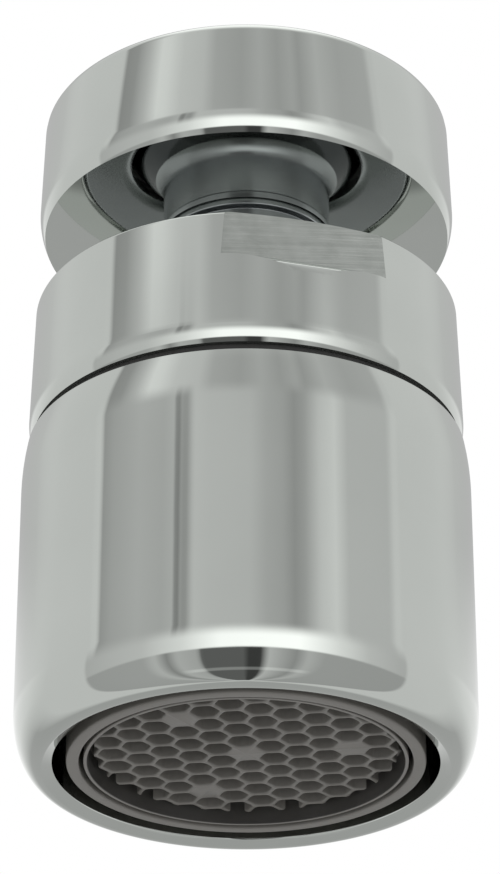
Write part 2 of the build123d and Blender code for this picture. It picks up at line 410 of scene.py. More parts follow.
def plain_mesh(piece: Piece) -> None:
    """Replace a piece's mesh by its evaluated one and drop its modifiers."""
    bpy.context.view_layer.update()
    graph = bpy.context.evaluated_depsgraph_get()
    mesh = bpy.data.meshes.new_from_object(piece.evaluated_get(graph), depsgraph=graph)
    piece.modifiers.clear()
    old = piece.data
    piece.data = mesh
    bpy.data.meshes.remove(old)


def prism(name: str, sides: int, radius: float, low: float, high: float, finish: Finish) -> Piece:
    """Make an upright prism in millimetres, for cutting."""
    mesh = bpy.data.meshes.new(name)
    shape = bmesh.new()
    bmesh.ops.create_cone(
        shape, cap_ends=True, segments=sides, radius1=radius * MM, radius2=radius * MM,
        depth=(high - low) * MM, matrix=Matrix.Translation((0, 0, (low + high) / 2 * MM)),
    )
    shape.to_mesh(mesh)
    shape.free()
    mesh.materials.append(finish.material())
    return new_piece(name, mesh)


def cut_away(piece: Piece, cutter: Piece) -> None:
    """Cut one closed shape out of a piece; the cut faces take the cutter's finish."""
    change = piece.modifiers.new("cut", "BOOLEAN")
    change.operation = "DIFFERENCE"
    change.solver = "EXACT"
    change.material_mode = "TRANSFER"
    change.object = cutter
    plain_mesh(piece)
    bpy.data.objects.remove(cutter)


def merge_into(piece: Piece, extra: Piece) -> None:
    """Add another piece's mesh to a piece as a further shell."""
    shape = bmesh.new()
    shape.from_mesh(piece.data)
    shape.from_mesh(extra.data)
    shape.to_mesh(piece.data)
    shape.free()
    bpy.data.objects.remove(extra)


def repaint(piece: Piece, finish: Finish, chosen: Callable[[Vector], bool]) -> None:
    """Give some faces of a piece a further finish.

    Args:
        piece: The piece to repaint.
        finish: The further finish.
        chosen: Tells from a face's middle, in millimetres, whether it takes the finish.
    """
    added = len(piece.data.materials)
    piece.data.materials.append(finish.material())
    for face in piece.data.polygons:
        if chosen(face.center / MM):
            face.material_index = added


class Recipe(Graph):
    """A Geometry Nodes tree with named inputs for its sizes."""

    def __init__(self, name: str) -> None:
        """Start an empty tree that takes and gives a geometry."""
        super().__init__(bpy.data.node_groups.new(name, "GeometryNodeTree"))
        self.values: dict[str, Any] = {}
        face = self.tree.interface
        face.new_socket("Geometry", in_out="INPUT", socket_type="NodeSocketGeometry")
        face.new_socket("Geometry", in_out="OUTPUT", socket_type="NodeSocketGeometry")
        self.given = self.tree.nodes.new("NodeGroupInput")
        self.made = self.tree.nodes.new("NodeGroupOutput")

    def size(self, name: str, value: float | int) -> Socket:
        """Add a named input and return the socket that carries it."""
        kind = "NodeSocketInt" if isinstance(value, int) else "NodeSocketFloat"
        socket = self.tree.interface.new_socket(name, in_out="INPUT", socket_type=kind)
        self.values[socket.identifier] = value
        return self.given.outputs[name]

    def moved(self, geometry: Socket, shift: Any = (0.0, 0.0, 0.0), turn: float = 0.0) -> Socket:
        """Shift a geometry and turn it about the Z axis."""
        change = {"Geometry": geometry, "Translation": shift, "Rotation": (0.0, 0.0, turn)}
        return self.make("GeometryNodeTransform", change)

    def raised(self, geometry: Socket, height: Any) -> Socket:
        """Lift a geometry by a height."""
        return self.moved(geometry, self.make("ShaderNodeCombineXYZ", {"Z": height}))

    def copies(self, points: Socket, shape: Socket, turn: Any = (0.0, 0.0, 0.0)) -> Socket:
        """Put a copy of a shape on every point."""
        spread = {"Points": points, "Instance": shape, "Rotation": turn}
        return self.make("GeometryNodeInstanceOnPoints", spread)

    def real(self, geometry: Socket) -> Socket:
        """Turn copies into real geometry."""
        return self.make("GeometryNodeRealizeInstances", {"Geometry": geometry})

    def swept(self, path: Socket, section: Socket, scale: Any = 1.0) -> Socket:
        """Sweep a section along a path to a closed shape."""
        sweep = {"Curve": path, "Profile Curve": section, "Scale": scale, "Fill Caps": True}
        return self.make("GeometryNodeCurveToMesh", sweep)

    def circle(self, sides: int, radius: Any) -> Socket:
        """Draw a regular outline."""
        regular = {"Resolution": sides, "Radius": radius}
        return self.make("GeometryNodeCurvePrimitiveCircle", regular)

    def cut(self, *cutters: Socket) -> Socket:
        """Cut shapes out of the geometry that the tree is given."""
        node = self.add("GeometryNodeMeshBoolean", operation="DIFFERENCE", solver="EXACT")
        self.link(self.given.outputs[0], node.inputs["Mesh 1"])
        for cutter in cutters:
            self.link(cutter, node.inputs["Mesh 2"])
        return node.outputs[0]

    def finish(self, geometry: Socket, finish: Finish) -> None:
        """End the tree: real geometry with its material."""
        smooth = {"Geometry": self.real(geometry), "Shade Smooth": True}
        rounded = self.make("GeometryNodeSetShadeSmooth", smooth)
        coat = {"Geometry": rounded, "Material": finish.material()}
        dressed = self.make("GeometryNodeSetMaterial", coat)
        self.link(dressed, self.made.inputs[0])

    def run(self, piece: Piece) -> Piece:
        """Run the tree on a piece and keep the result as its plain mesh."""
        change = piece.modifiers.new("recipe", "NODES")
        change.node_group = self.tree
        for identifier, value in self.values.items():
            change[identifier] = value
        plain_mesh(piece)
        return piece

    def run_alone(self, name: str) -> Piece:
        """Run the tree on nothing and return the new piece."""
        return self.run(new_piece(name, bpy.data.meshes.new(name)))


def deliver(piece: Piece, body: Body, node: str) -> None:
    """Let a finished piece ride on its body and stand for its node."""
    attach(piece, body.value)
    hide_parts(node)
    LOG.info("%s: %d faces, rides on %s", piece.name, len(piece.data.polygons), body.value)


def dress_nodes(nodes: Nodes, finish: Finish, *names: str) -> None:
    """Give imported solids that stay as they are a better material."""
    for name in names:
        materials = nodes[name].data.materials
        materials.clear()
        materials.append(finish.material())
        LOG.info("%s: kept, dressed as %s", name, finish.name)


@dataclass
class ConnectorNut:
    """Round nut with the female spout thread, its washer and the thin seal below it."""

    base: float = NUT_BASE
    top: float = 42.53
    radius: float = 12.58
    top_radius: float = 12.40
    top_rounding: float = 0.55
    draw: float = 0.32
    draw_span: float = 1.5
    hole: float = 5.23
    floor: float = NUT_FLOOR
    bevel: float = 0.2
    thread_root: float = 10.94
    thread_pitch: float = 0.994
    thread_low: float = 38.55
    thread_high: float = 42.05
    ridge: float = 0.48
    ridge_sides: int = 4
    turn_steps: int = 160
    fade: float = 0.07
    fade_size: float = 0.05

    def shell(self) -> Piece:
        """Turn the nut with a plain bore at the root of the thread."""
        outline = Outline(self.hole, self.base, SOFT_EDGE)
        outline.to(self.radius - self.draw, self.base)
        outline.drawn_in(self.radius, self.base + self.draw_span, self.draw, self.draw_span)
        outline.to(self.top_radius, self.top, self.top_rounding)
        outline.to(self.thread_root + self.bevel, self.top, BROKEN_EDGE)
        outline.to(self.thread_root, self.top - self.bevel, BROKEN_EDGE)
        outline.to(self.thread_root, self.floor, SOFT_EDGE)
        outline.to(self.hole, self.floor, SOFT_EDGE)
        return turned("connector_nut_shell", outline, CHROME)

    def thread(self) -> Piece:
        """Wind the ridge of the spout thread, fading out at both ends."""
        recipe = Recipe("spout_thread")
        pitch = recipe.size("Pitch", self.thread_pitch * MM)
        height = recipe.size("Height", (self.thread_high - self.thread_low) * MM)
        radius = recipe.size("Root radius", self.thread_root * MM)
        ridge = recipe.size("Ridge", self.ridge * MM)
        low = recipe.size("Low end", self.thread_low * MM)
        turns = recipe.math("DIVIDE", height, pitch)
        path = {
            "Resolution": self.turn_steps, "Rotations": turns,
            "Start Radius": radius, "End Radius": radius, "Height": height,
        }
        helix = recipe.make("GeometryNodeCurveSpiral", path)
        upright = recipe.make("GeometryNodeSetCurveNormal", {"Curve": helix}, mode="Z_UP")
        along = recipe.add("GeometryNodeSplineParameter").outputs["Factor"]
        fade_in = recipe.span(along, (0.0, self.fade), (self.fade_size, 1.0))
        fade_out = recipe.span(along, (1.0 - self.fade, 1.0), (1.0, self.fade_size))
        scale = recipe.math("MULTIPLY", fade_in, fade_out)
        wound = recipe.swept(upright, recipe.circle(self.ridge_sides, ridge), scale)
        recipe.finish(recipe.raised(wound, low), CHROME)
        ridge_piece = recipe.run_alone("spout_thread")
        tidy_mesh(ridge_piece.data)
        return ridge_piece

    def build(self, nodes: Nodes) -> None:
        """Build the nut and dress what sits in it."""
        nut = self.shell()
        merge_into(nut, self.thread())
        deliver(nut, Body.SPOUT_SIDE, "connector_nut")
        dress_nodes(nodes, RUBBER, "inlet_washer", "stem_seal")


@dataclass
class BallJoint:
    """Hollow ball with its neck, the ring that keeps it in, and its seats and seals."""

    centre: float = 24.86
    ball: float = 8.0
    ball_slack: float = 0.05
    groove_half: float = 0.7
    groove_depth: float = 1.45
    neck: float = 4.85
    thread: float = 5.2
    sweep: float = 1.7
    water: float = 3.4
    mouth_flare: float = 0.55
    mouth_rise: float = 0.6
    shoulder_drop: float = 0.5
    shoulder_slope: float = 0.1
    seal_rise: float = 0.1
    seal_depth: float = 0.3
    seal_flat: float = 0.5
    seal_span: float = 0.7
    end_bevel: float = 0.3
    socket_sides: int = 6
    socket_room: float = 0.55
    socket_depth: float = 1.6
    socket_cut: float = 4.0
    flat: float = 18.46
    retainer: float = 10.0
    retainer_low: float = 25.50
    retainer_step: float = 28.10
    retainer_bevel: float = 0.18
    lip: float = 7.6
    lip_rounding: float = 0.8
    lip_turn: float = 46.0
    lip_end: float = 0.55
    lip_room: float = 0.45

    def ball_arc(self, outline: Outline, radius: float, low: float, high: float) -> None:
        """Add the ball's outline between two heights."""
        first = math.degrees(math.asin((low - self.centre) / radius))
        last = math.degrees(math.asin((high - self.centre) / radius))
        outline.arc((0.0, self.centre), (radius, radius), first, last - first)

    def on_ball(self, spot: Vector) -> bool:
        """Tell whether a spot lies on the ball's surface."""
        reach = math.hypot(spot.xy.length, spot.z - self.centre)
        return abs(reach - self.ball) < self.ball_slack

    def screwed_end(self, outline: Outline) -> None:
        """Go up the neck's screwed end with its seal groove, and down the waterway."""
        shoulder = NUT_BASE - self.shoulder_drop
        groove = NUT_BASE + self.seal_rise
        outline.to(self.neck, shoulder, THIN_EDGE)
        outline.to(self.thread, shoulder + self.shoulder_slope, EASED_EDGE)
        outline.to(self.thread, groove, SHARP_EDGE)
        outline.to(self.thread - self.seal_depth, groove, SHARP_EDGE)
        outline.to(self.thread - self.seal_depth, groove + self.seal_flat, SHARP_EDGE)
        outline.to(self.thread, groove + self.seal_span)
        outline.to(self.thread, NUT_FLOOR - self.end_bevel, FINE_EDGE)
        outline.to(self.thread - self.end_bevel, NUT_FLOOR, FINE_EDGE)
        outline.to(self.water, NUT_FLOOR, FINE_EDGE)
        outline.to(self.water, self.flat + self.mouth_rise, SOFT_EDGE)

    def stem(self) -> Piece:
        """Turn the ball and its neck, cut the hexagon socket and paint shade onto the ball below the sweep.
        """
        low, high = self.centre - self.groove_half, self.centre + self.groove_half
        outline = Outline(self.water + self.mouth_flare, self.flat, EASED_EDGE)
        self.ball_arc(outline, self.ball, self.flat, low)
        outline.to(self.ball - self.groove_depth, low, SOFT_EDGE)
        outline.to(self.ball - self.groove_depth, high, SOFT_EDGE)
        reach = self.ball + self.sweep
        sweep_z = self.centre + math.sqrt(reach**2 - (self.neck + self.sweep) ** 2)
        slope = math.degrees(math.asin((sweep_z - self.centre) / reach))
        foot = self.centre + self.ball * math.sin(math.radians(slope))
        self.ball_arc(outline, self.ball, high, foot)
        outline.arc((self.neck + self.sweep, sweep_z), (self.sweep, self.sweep), 180 + slope, -slope)
        self.screwed_end(outline)
        stem = turned("ball_stem_turned", outline, TURNED)
        bottom = NUT_FLOOR - self.socket_depth
        corner = self.water + self.socket_room
        cut_away(stem, prism("socket", self.socket_sides, corner, bottom, bottom + self.socket_cut, CHROME))
        tidy_mesh(stem.data, False)
        # Paints shade onto the ball's surface below the sweep
        repaint(stem, BALL_PAINTED_SHADE, lambda middle: self.on_ball(middle) and middle.z < foot)
        return stem

    def retainer_ring(self) -> Piece:
        """Turn the screwed ring with its rounded lip."""
        outline = Outline(SEAT_BORE, self.retainer_low, FINE_EDGE)
        outline.to(self.retainer, self.retainer_low, EASED_EDGE)
        outline.to(self.retainer, JOINT_TOP - self.retainer_bevel, FINE_EDGE)
        outline.to(self.retainer - self.retainer_bevel, JOINT_TOP, FINE_EDGE)
        low = JOINT_TOP - self.lip_rounding
        outline.arc((self.lip, low), (self.lip_rounding, self.lip_rounding), 90, self.lip_turn)
        self.ball_arc(outline, self.ball + self.lip_room, low + self.lip_end, self.retainer_step)
        outline.to(SEAT_BORE, self.retainer_step, FINE_EDGE)
        return turned("ball_retainer_ring", outline, TURNED)

    def build(self, nodes: Nodes) -> None:
        """Build the stem and its ring, and dress the seats and seals."""
        deliver(self.stem(), Body.SPOUT_SIDE, "ball_stem")
        deliver(self.retainer_ring(), Body.HEAD, "ball_retainer")
        dress_nodes(nodes, SEAT_WHITE, "upper_seat", "lower_seat")
        dress_nodes(nodes, RUBBER, "ball_o_ring", "seat_o_ring")


@dataclass
class Collar:
    """Collar round the joint with its screwed skirt, two milled flats and the seam's gasket."""

    base: float = 20.65
    edge: float = 29.25
    top: float = JOINT_TOP
    radius: float = 12.83
    edge_radius: float = 12.63
    draw: float = 0.22
    draw_span: float = 1.15
    rounding: float = 0.2
    rounding_turn: float = 80.0
    bore: float = 10.03
    bevel: float = 0.18
    seat_z: float = 25.47
    ledge: float = 6.4
    ledge_high: float = 19.62
    ledge_low: float = 18.32
    skirt: float = 11.47
    skirt_end: float = 12.77
    skirt_rounding: float = 0.15
    chamber: float = 9.6
    chamber_slope: float = 1.2
    chamber_rounding: float = 0.2
    flat_radius: float = 11.71
    flat_height: float = 2.85
    flat_slack: float = 0.01
    shoulder: float = 0.99
    block_reach: float = 4.0
    block_rise: float = 1.0
    block_share: float = 1.5
    rows: int = 24

    def shell(self) -> Piece:
        """Turn the collar."""
        low, high = self.base + self.draw_span, self.edge - self.rounding
        outline = Outline(self.chamber, self.skirt_end, SOFT_EDGE)
        outline.to(self.skirt, self.skirt_end, self.skirt_rounding)
        outline.to(self.skirt, self.base)
        outline.to(self.radius - self.draw, self.base)
        outline.drawn_in(self.radius, low, self.draw, self.draw_span)
        for row in range(1, self.rows):
            part = row / self.rows
            wall = self.radius + (self.edge_radius - self.radius) * part
            outline.to(wall, low + (high - low) * part)
        corner = (self.edge_radius - self.rounding, high)
        outline.arc(corner, (self.rounding, self.rounding), 0, self.rounding_turn)
        outline.to(self.bore + self.bevel, self.top, BROKEN_EDGE)
        outline.to(self.bore, self.top - self.bevel, BROKEN_EDGE)
        outline.to(self.bore, self.seat_z)
        outline.to(SEAT_BORE, self.seat_z)
        outline.to(SEAT_BORE, self.ledge_high)
        outline.to(self.ledge, self.ledge_high, SOFT_EDGE)
        outline.to(self.ledge, self.ledge_low, SOFT_EDGE)
        outline.to(self.chamber, self.ledge_low - self.chamber_slope, self.chamber_rounding)
        return turned("collar_shell", outline, CHROME)

    def flat_cutter(self, turn: float) -> Piece:
        """Make the block that mills one flat and leaves a rounded shoulder below it.

        Args:
            turn: Direction that the flat faces, as an angle about the axis.

        Returns:
            The cutting block.
        """
        low, high = self.edge - self.flat_height, self.top + self.block_rise
        far = self.flat_radius + self.block_reach
        outline = Outline(self.flat_radius, high)
        outline.to(self.flat_radius, low)
        outline.arc((self.flat_radius, low - self.shoulder), (self.shoulder, self.shoulder), 90, -90)
        outline.to(far, low - self.shoulder)
        outline.to(far, high)
        points = outline.softened()
        count = len(points)
        half = self.block_share * self.radius * MM
        places = [(x * MM, side * half, z * MM) for side in (-1, 1) for x, z in points]
        faces = []
        for index in range(count):
            after = (index + 1) % count
            faces.append((index, after, after + count, index + count))
        faces += [tuple(range(count)), tuple(range(count, 2 * count))]
        mesh = bpy.data.meshes.new("flat")
        mesh.from_pydata(places, [], faces)
        tidy_mesh(mesh)
        mesh.transform(Matrix.Rotation(turn, 4, "Z"))
        mesh.materials.append(MILLED.material())
        block = new_piece("flat", mesh)
        repaint(block, CHROME, lambda middle: middle.z <= low + self.flat_slack)
        return block

    def build(self, nodes: Nodes) -> None:
        """Build the collar, mill its flats and dress the gasket."""
        collar = self.shell()
        for side in (0.0, math.pi):
            cut_away(collar, self.flat_cutter(FLAT_TURN + side))
        tidy_mesh(collar.data, False)
        for face in collar.data.polygons:
            finish = collar.data.materials[face.material_index]
            face.use_smooth = finish.name != MILLED.name
        deliver(collar, Body.HEAD, "collar")
        dress_nodes(nodes, RUBBER, "collar_gasket")


@dataclass
class Housing:
    """Smooth outlet sleeve with a drawn-in top and a foot rounded on an ellipse."""

    radius: float = 13.15
    height: float = 20.18
    foot: float = 1.53
    foot_height: float = 3.2
    lip_width: float = 0.12
    lip_rise: float = 0.32
    draw: float = 0.28
    draw_span: float = 3.0
    top_edge: float = 0.15
    top_width: float = 0.2
    bore: float = 11.5
    ledge: float = INSERT_LEDGE
    opening: float = 10.89

    def build(self) -> None:
        """Turn the sleeve."""
        shoulder = self.height - self.top_edge - self.draw_span
        inner = self.radius - self.foot
        outline = Outline(self.opening, self.lip_rise, BROKEN_EDGE)
        outline.to(inner - self.lip_width, 0.0, BROKEN_EDGE)
        outline.arc((inner, self.foot_height), (self.foot, self.foot_height), -90, 90)
        outline.drawn_in(self.radius, shoulder, self.draw, self.draw_span, True)
        outline.to(self.radius - self.draw - self.top_width, self.height, BROKEN_EDGE)
        outline.to(self.bore, self.height, SOFT_EDGE)
        outline.to(self.bore, self.ledge)
        outline.to(self.opening, self.ledge, SOFT_EDGE)
        sleeve = turned("housing_sleeve", outline, CHROME)
        deliver(sleeve, Body.HEAD, "housing")


@dataclass
class FlowInsert:
    """Grey insert: barrel with air windows, honeycomb outlet, woven screens and hidden plates."""

    rim: float = 0.38
    rim_rounding: float = 0.16
    rim_in_rounding: float = 0.12
    barrel: float = 10.13
    barrel_in: float = 9.40
    step: float = 9.0
    step_low: float = 4.1
    step_high: float = 7.87
    flange: float = 11.4
    flange_low: float = INSERT_LEDGE
    flange_top: float = 10.97
    window_width: float = 2.6
    window_depth: float = 5.0
    window_margin: float = 0.6
    window_count: int = 8
    cell_base: float = 1.1
    groove: float = 0.35
    groove_depth: float = 0.8
    # Painted shade covers this share of the groove's width beside its outer wall
    painted_shade_share: float = 0.125
    cell_top: float = 3.3
    cell_rim: float = 9.15
    cell_rim_rise: float = 0.1
    cell_field: float = 8.93
    cell_field_gap: float = 0.005
    cell_pitch: float = 1.727
    cell_wall: float = 0.26
    cell_turn: float = 22.6
    cell_rounding: float = 0.34
    corner_steps: int = 3
    cutter_height: float = 4.0
    drum_height: float = 20.0
    edge_share: float = 0.3
    mouth: float = 0.11
    mouth_below: float = 0.006
    mouth_facets: tuple[float, ...] = (22.5, 67.5)
    hold: float = 9.37
    hold_drop: float = 0.7
    screen_base: float = 3.6
    screen: float = 0.25
    screen_radius: float = 9.3
    wire_pitch: float = 0.85
    wire: float = 0.06
    wire_sides: int = 5
    wire_steps: int = 4
    weave: float = 0.055
    filled: tuple[tuple[int, int], ...] = ((0, 0), (-2, -2), (4, -2), (-2, 4))

    def barrel_piece(self) -> Piece:
        """Turn the barrel and cut its air windows."""
        outline = Outline(self.barrel_in, self.rim, self.rim_in_rounding)
        outline.to(self.barrel, self.rim, self.rim_rounding)
        outline.to(self.barrel, self.flange_low, SOFT_EDGE)
        outline.to(self.flange, self.flange_low, SOFT_EDGE)
        outline.to(self.flange, self.flange_top, SOFT_EDGE)
        outline.to(self.barrel_in, self.flange_top, SOFT_EDGE)
        outline.to(self.barrel_in, self.step_high)
        outline.to(self.step, self.step_high, FINE_EDGE)
        outline.to(self.step, self.step_low, FINE_EDGE)
        outline.to(self.barrel_in, self.step_low)
        barrel = turned("insert_barrel", outline, INSERT_GREY, INSERT_SEGMENTS)
        low, high = self.step_low + self.window_margin, self.step_high - self.window_margin
        recipe = Recipe("air_windows")
        count = recipe.size("Window count", self.window_count)
        width = recipe.size("Window width", self.window_width * MM)
        tall = recipe.size("Window height", (high - low) * MM)
        radius = recipe.size("Barrel radius", self.barrel * MM)
        middle = recipe.size("Window middle", (low + high) / 2 * MM)
        block = recipe.make("ShaderNodeCombineXYZ", {"X": self.window_depth * MM, "Y": width, "Z": tall})
        window = recipe.make("GeometryNodeMeshCube", {"Size": block})
        ring = recipe.make("GeometryNodeMeshCircle", {"Vertices": count, "Radius": radius})
        turn = recipe.math("DIVIDE", 2 * math.pi, count)
        place = recipe.make("GeometryNodeInputIndex")
        spin = recipe.make("ShaderNodeCombineXYZ", {"Z": recipe.math("MULTIPLY", turn, place)})
        windows = recipe.copies(recipe.raised(ring, middle), window, spin)
        recipe.finish(recipe.cut(recipe.real(windows)), INSERT_GREY)
        recipe.run(barrel)
        tidy_mesh(barrel.data, False)
        return barrel

    def cell_points(self, recipe: Recipe, pitch: Socket, field: Socket) -> Socket:
        """Lay out the cell centres on a triangular lattice.

        Args:
            recipe: The tree to add to.
            pitch: Socket with the distance between cells.
            field: Socket with the radius of the field of cells.

        Returns:
            The points of the open cells.
        """
        reach = int(self.cell_field // self.cell_pitch) * 2
        side = 2 * reach + 1
        lattice = {"Size X": 2.0 * reach, "Size Y": 2.0 * reach, "Vertices X": side, "Vertices Y": side}
        grid = recipe.make("GeometryNodeMeshGrid", lattice)
        where = recipe.make("GeometryNodeInputPosition")
        shut: Any = 0.0
        for column, row in self.filled:
            ends = {0: where, 1: (float(column), float(row), 0.0)}
            away = recipe.add("ShaderNodeVectorMath", ends, operation="DISTANCE").outputs["Value"]
            shut = recipe.math("ADD", shut, recipe.math("LESS_THAN", away, 0.5))
        chosen = recipe.make("GeometryNodeDeleteGeometry", {"Geometry": grid, "Selection": shut})
        parts = recipe.add("ShaderNodeSeparateXYZ", {0: where})
        across = recipe.math("MULTIPLY_ADD", parts.outputs[1], 0.5, parts.outputs[0])
        along = recipe.math("MULTIPLY", parts.outputs[1], math.sqrt(0.75))
        flat = recipe.make("ShaderNodeCombineXYZ", {"X": across, "Y": along})
        sized = recipe.make("ShaderNodeVectorMath", {0: flat, "Scale": pitch}, operation="SCALE")
        moved = recipe.make("GeometryNodeSetPosition", {"Geometry": chosen, "Position": sized})
        far = recipe.add("ShaderNodeVectorMath", {0: where}, operation="LENGTH").outputs["Value"]
        limit = recipe.math("MULTIPLY_ADD", pitch, self.edge_share, field)
        beyond = recipe.math("GREATER_THAN", far, limit)
        kept = recipe.make("GeometryNodeDeleteGeometry", {"Geometry": moved, "Selection": beyond})
        return recipe.moved(kept, turn=math.radians(self.cell_turn))

    def cell_cutter(self, recipe: Recipe, outline: Socket, tall: float, flare: float) -> Socket:
        """Pull an outline up to a closed shape, wider at its lower end by a share."""
        ends = {"Start": (0.0, 0.0, -tall / 2 * MM), "End": (0.0, 0.0, tall / 2 * MM)}
        path = recipe.make("GeometryNodeCurvePrimitiveLine", ends)
        along = recipe.add("GeometryNodeSplineParameter").outputs["Factor"]
        return recipe.swept(path, outline, recipe.mix(along, flare, 2.0 - flare))

    def cell_cutters(
        self, recipe: Recipe, points: Socket, shape: Socket, height: float, field: Socket
    ) -> Socket:
        """Put one cutter in every cell and trim them to the round field."""
        spin = (0.0, 0.0, math.radians(self.cell_turn + HEX_HALF_STEP))
        many = recipe.moved(recipe.copies(points, shape, spin), (0.0, 0.0, height * MM))
        round_field = {"Vertices": INSERT_SEGMENTS, "Radius": field, "Depth": self.drum_height * MM}
        drum = recipe.make("GeometryNodeMeshCylinder", round_field)
        trim = recipe.add("GeometryNodeMeshBoolean", operation="INTERSECT", solver="EXACT")
        recipe.link(recipe.real(many), trim.inputs["Mesh 2"])
        recipe.link(drum, trim.inputs["Mesh 2"])
        return trim.outputs[0]

    def mouth_cutters(
        self, recipe: Recipe, points: Socket, outline: Socket, lean: float, field: Socket
    ) -> Socket:
        """Make the cutters of one facet of the rounded cell mouths.

        Args:
            recipe: The tree to add to.
            points: Socket with the cell centres.
            outline: Socket with the cell's outline.
            lean: Angle of the facet from the upright cell wall, in degrees.
            field: Socket with the radius of the field of cells.

        Returns:
            The cutters of all cells.
        """
        slope = math.tan(math.radians(lean))
        middle = self.mouth * min(1.0, 1 / slope)
        reach = middle + self.mouth_below
        half_width = (self.cell_pitch - self.cell_wall) / 2
        shape = self.cell_cutter(recipe, outline, 2 * reach, 1 + reach * slope / half_width)
        return self.cell_cutters(recipe, points, shape, self.cell_base + middle, field)

    def disc(self) -> Piece:
        """Turn the outlet disc with its sunk edge groove."""
        bottom = self.cell_base + self.groove_depth
        edge = self.rim + self.cell_rim_rise
        hold_low = self.cell_top - self.hold_drop
        outline = Outline(0.0, self.cell_base)
        outline.to(self.cell_field - self.groove, self.cell_base, THIN_EDGE)
        outline.to(self.cell_field - self.groove, bottom, THIN_EDGE)
        outline.to(self.cell_field, bottom, THIN_EDGE)
        outline.to(self.cell_field, edge, BROKEN_EDGE)
        outline.to(self.cell_rim, edge, BROKEN_EDGE)
        outline.to(self.cell_rim, hold_low)
        outline.to(self.hold, hold_low, FINE_EDGE)
        outline.to(self.hold, self.screen_base, FINE_EDGE)
        outline.to(self.cell_field, self.screen_base, FINE_EDGE)
        outline.to(self.cell_field, self.cell_top)
        outline.to(0.0, self.cell_top)
        return turned("honeycomb_grid", outline, INSERT_GREY, INSERT_SEGMENTS)

    def takes_painted_shade(self, spot: Vector) -> bool:
        """Tell whether a spot lies on the outer wall of the edge groove, which takes painted shade."""
        aside = abs(spot.xy.length - self.cell_field)
        return aside < self.groove * self.painted_shade_share and spot.z < self.cell_base + self.groove_depth

    def honeycomb(self) -> Piece:
        """Cut the honeycomb cells with softened mouths, and paint shade onto the groove's outer wall."""
        disc = self.disc()
        recipe = Recipe("honeycomb_cells")
        pitch = recipe.size("Cell pitch", self.cell_pitch * MM)
        wall = recipe.size("Cell wall", self.cell_wall * MM)
        field = recipe.size("Field radius", (self.cell_field - self.cell_field_gap) * MM)
        points = self.cell_points(recipe, pitch, field)
        corner = recipe.math("DIVIDE", recipe.math("SUBTRACT", pitch, wall), math.sqrt(3))
        rounding = recipe.size("Corner rounding", self.cell_rounding * MM)
        soft = {"Curve": recipe.circle(6, corner), "Count": self.corner_steps, "Radius": rounding}
        rounded = recipe.make("GeometryNodeFilletCurve", soft, mode="POLY")
        hole = self.cell_cutter(recipe, rounded, self.cutter_height, 1.0)
        holes = self.cell_cutters(recipe, points, hole, (self.cell_base + self.cell_top) / 2, field)
        mouths = [self.mouth_cutters(recipe, points, rounded, lean, field) for lean in self.mouth_facets]
        recipe.finish(recipe.cut(holes, *mouths), INSERT_GREY)
        recipe.run(disc)
        tidy_mesh(disc.data, False, CELL_LIMIT)
        # Paints shade onto the outer wall of the edge groove
        repaint(disc, INSERT_PAINTED_SHADE, self.takes_painted_shade)
        return disc

    def wires(self, recipe: Recipe, radius: Socket, pitch: Socket, wave: Socket, turn: float) -> Socket:
        """Lay one set of parallel woven wires, cut to a round screen."""
        reach = int(self.screen_radius / self.wire_pitch)
        count = 2 * reach + 1
        line = {"Count": count, "Start Location": (0.0, -float(reach), 0.0), "Offset": (0.0, 1.0, 0.0)}
        rows = recipe.make("GeometryNodeMeshLine", line, mode="OFFSET")
        ends = {"Start": (-1.0, 0.0, 0.0), "End": (1.0, 0.0, 0.0)}
        straight = recipe.make("GeometryNodeCurvePrimitiveLine", ends)
        steps = {"Curve": straight, "Count": self.wire_steps * count}
        fine = recipe.make("GeometryNodeResampleCurve", steps)
        many = recipe.real(recipe.copies(rows, fine))
        parts = recipe.add("ShaderNodeSeparateXYZ", {0: recipe.make("GeometryNodeInputPosition")})
        offset = recipe.math("MULTIPLY", parts.outputs[1], pitch)
        room = recipe.math("SUBTRACT", recipe.math("POWER", radius, 2.0), recipe.math("POWER", offset, 2.0))
        half = recipe.math("SQRT", recipe.math("MAXIMUM", room, 0.0))
        across = recipe.math("MULTIPLY", parts.outputs[0], half)
        phase = recipe.math("ADD", recipe.math("DIVIDE", across, pitch), parts.outputs[1])
        rise = recipe.math("MULTIPLY", recipe.math("COSINE", recipe.math("MULTIPLY", phase, math.pi)), wave)
        spot = recipe.make("ShaderNodeCombineXYZ", {"X": across, "Y": offset, "Z": rise})
        bent = recipe.make("GeometryNodeSetPosition", {"Geometry": many, "Position": spot})
        drawn = recipe.swept(bent, recipe.circle(self.wire_sides, self.wire * MM))
        return recipe.moved(drawn, turn=turn)

    def woven_screen(self, name: str, low: float, turn: float) -> Piece:
        """Weave one round wire screen."""
        recipe = Recipe(name)
        radius = recipe.size("Screen radius", (self.screen_radius - self.wire) * MM)
        pitch = recipe.size("Wire pitch", self.wire_pitch * MM)
        wave = recipe.size("Weave height", self.weave * MM)
        under = recipe.math("MULTIPLY", wave, -1.0)
        both = recipe.add("GeometryNodeJoinGeometry")
        recipe.link(self.wires(recipe, radius, pitch, wave, turn), both.inputs[0])
        recipe.link(self.wires(recipe, radius, pitch, under, turn + math.pi / 2), both.inputs[0])
        middle = (0.0, 0.0, (low + self.screen / 2) * MM)
        recipe.finish(recipe.moved(both.outputs[0], middle), WIRE)
        return recipe.run_alone(name)

    def build(self, nodes: Nodes) -> None:
        """Build the seen parts of the insert and dress the hidden ones."""
        deliver(self.barrel_piece(), Body.HEAD, "insert_body")
        deliver(self.honeycomb(), Body.HEAD, "honeycomb_outlet")
        lower = self.woven_screen("screen_lower_weave", self.screen_base, 0.0)
        upper = self.woven_screen("screen_upper_weave", self.screen_base + self.screen, math.pi / 4)
        deliver(lower, Body.HEAD, "screen_lower")
        deliver(upper, Body.HEAD, "screen_upper")
        dress_nodes(nodes, INSERT_GREY, "insert_filter", "jet_plate")
        dress_nodes(nodes, RUBBER, "insert_washer", "regulator_o_ring")


